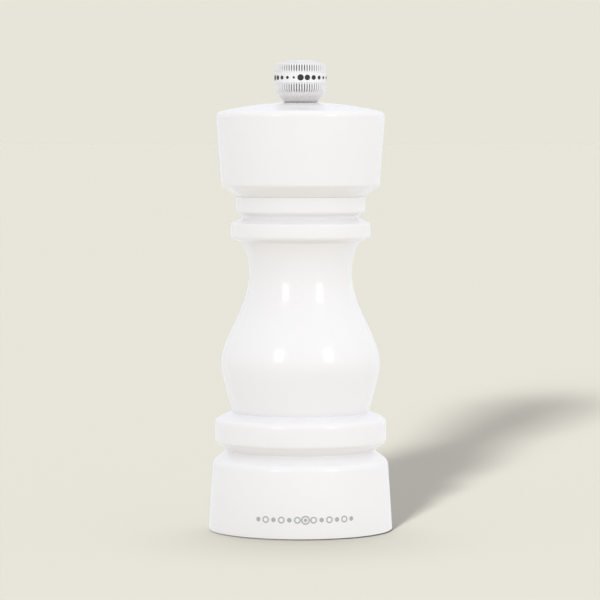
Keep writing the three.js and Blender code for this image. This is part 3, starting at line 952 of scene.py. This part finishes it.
def make_world():
    """A room light that is brightest from the front right. The camera sees the backdrop's own colour."""
    world = bpy.data.worlds.new("studio")
    world.use_nodes = True
    nodes, links = world.node_tree.nodes, world.node_tree.links
    room, seen = nodes["Background"], nodes.new("ShaderNodeBackground")
    facing = nodes.new("ShaderNodeVectorMath")
    facing.operation = "DOT_PRODUCT"
    links.new(nodes.new("ShaderNodeTexCoord").outputs["Generated"], facing.inputs[0])
    facing.inputs[1].default_value = (math.sin(ROOM_BRIGHTEST), -math.cos(ROOM_BRIGHTEST), 0)
    level = nodes.new("ShaderNodeMapRange")
    links.new(facing.outputs["Value"], level.inputs["Value"])
    limits = {"From Min": -1, "From Max": 1, "To Min": ROOM_BACK, "To Max": ROOM_FRONT}
    for name, value in limits.items():
        level.inputs[name].default_value = value
    links.new(level.outputs[0], room.inputs["Strength"])
    room.inputs["Color"].default_value = ROOM_COLOUR
    seen.inputs["Color"].default_value = BACKDROP
    mix, path = nodes.new("ShaderNodeMixShader"), nodes.new("ShaderNodeLightPath")
    links.new(path.outputs["Is Camera Ray"], mix.inputs[0])
    links.new(room.outputs[0], mix.inputs[1])
    links.new(seen.outputs[0], mix.inputs[2])
    links.new(mix.outputs[0], nodes["World Output"].inputs["Surface"])
    bpy.context.scene.world = world


def limited(light, objects, state):
    """Makes a light fall only on some objects, or on everything else."""
    group = bpy.data.collections.new(f"{light.name}_receivers")
    for item in objects:
        group.objects.link(item)
    light.light_linking.receiver_collection = group
    for entry in group.collection_objects:
        entry.light_linking.link_state = state


def make_sun(name, heading, elevation, energy, angle, floor):
    """A sun that lights the floor only. Its rays head that many degrees from straight back towards +X."""
    data = bpy.data.lights.new(name, "SUN")
    data.energy = energy
    data.angle = math.radians(angle)
    sun = bpy.data.objects.new(name, data)
    bpy.context.scene.collection.objects.link(sun)
    away, down = math.radians(heading), math.radians(elevation)
    ray = Vector((math.sin(away), math.cos(away), -math.tan(down)))
    sun.rotation_euler = ray.to_track_quat("-Z", "Y").to_euler()
    limited(sun, [floor], "INCLUDE")


def make_softbox(name, azimuth, elevation, width, height, radiance):
    """A softbox in front of the mill. Azimuth is measured from the camera's side towards +X."""
    distance = 1.15
    data = bpy.data.lights.new(name, "AREA")
    data.shape = "RECTANGLE"
    data.size, data.size_y = width, height
    data.energy = radiance * math.pi * width * height
    box = bpy.data.objects.new(name, data)
    bpy.context.scene.collection.objects.link(box)
    a, e = math.radians(azimuth), math.radians(elevation)
    away = Vector((math.sin(a) * math.cos(e), -math.cos(a) * math.cos(e), math.sin(e)))
    target = Vector((0, 0, 0.08))
    box.location = target + away * distance
    box.rotation_euler = (-away).to_track_quat("-Z", "Y").to_euler()
    return box


def make_studio():
    """The floor, the room and its lights.

    Three low suns throw the long shadow and a high one fills it. The strips only show as reflections.
    """
    bpy.context.scene.view_settings.view_transform = "Standard"
    floor = make_floor()
    make_world()
    make_sun("left_sun", 12.2, 14.5, 7.3, 3.2, floor)
    make_sun("right_sun", 14.7, 14.8, 7.3, 3.2, floor)
    make_sun("hazy_sun", 13.4, 14.8, 6.7, 9, floor)
    make_sun("high_sun", 180, 77, 3.1, 30, floor)
    knob = [bpy.data.objects[name] for name in ("fluted_knob", "knob_marks")]
    key = make_softbox("key", 12, 5, 1.0, 0.8, 0.57)
    key.visible_glossy = False
    limited(key, [floor], "EXCLUDE")
    for name, azimuth, radiance in (("left_strip", -33, 2.5), ("right_strip", 43, 2.5)):
        strip = make_softbox(name, azimuth, 20.5, 0.27, 0.42, radiance)
        strip.visible_diffuse = False
        limited(strip, [floor, *knob], "EXCLUDE")


make_camera()
make_body()
make_head()
make_ferrule()
make_knob()
make_knob_insert()
make_collar("fibre_washer", "knob_washer", "knob_seat", "fibre", FIBRE, 2.8, 4.9)
make_spindle()
make_rotor()
make_collar("rotor_seat_washer", "rotor_washer", "spindle_unit", "bright_steel", BRIGHT_STEEL, 3.75, 5.6)
make_clip()
make_collar("thrust_washer_ring", "spring_washer", "thrust_washer", "bright_steel", BRIGHT_STEEL, 3.75, 5.9)
make_spring()
make_stator()
make_housing()
make_bridge()
make_guide_bush()
make_drive_plate()
make_screws("plate_screw", "drive_plate_screw", "head_unit", PLATE_SCREWS)
make_screws("cup_screw", "housing_screw", "mill_body", HOUSING_SCREWS)
make_foot_marks()
make_knob_marks()
make_studio()
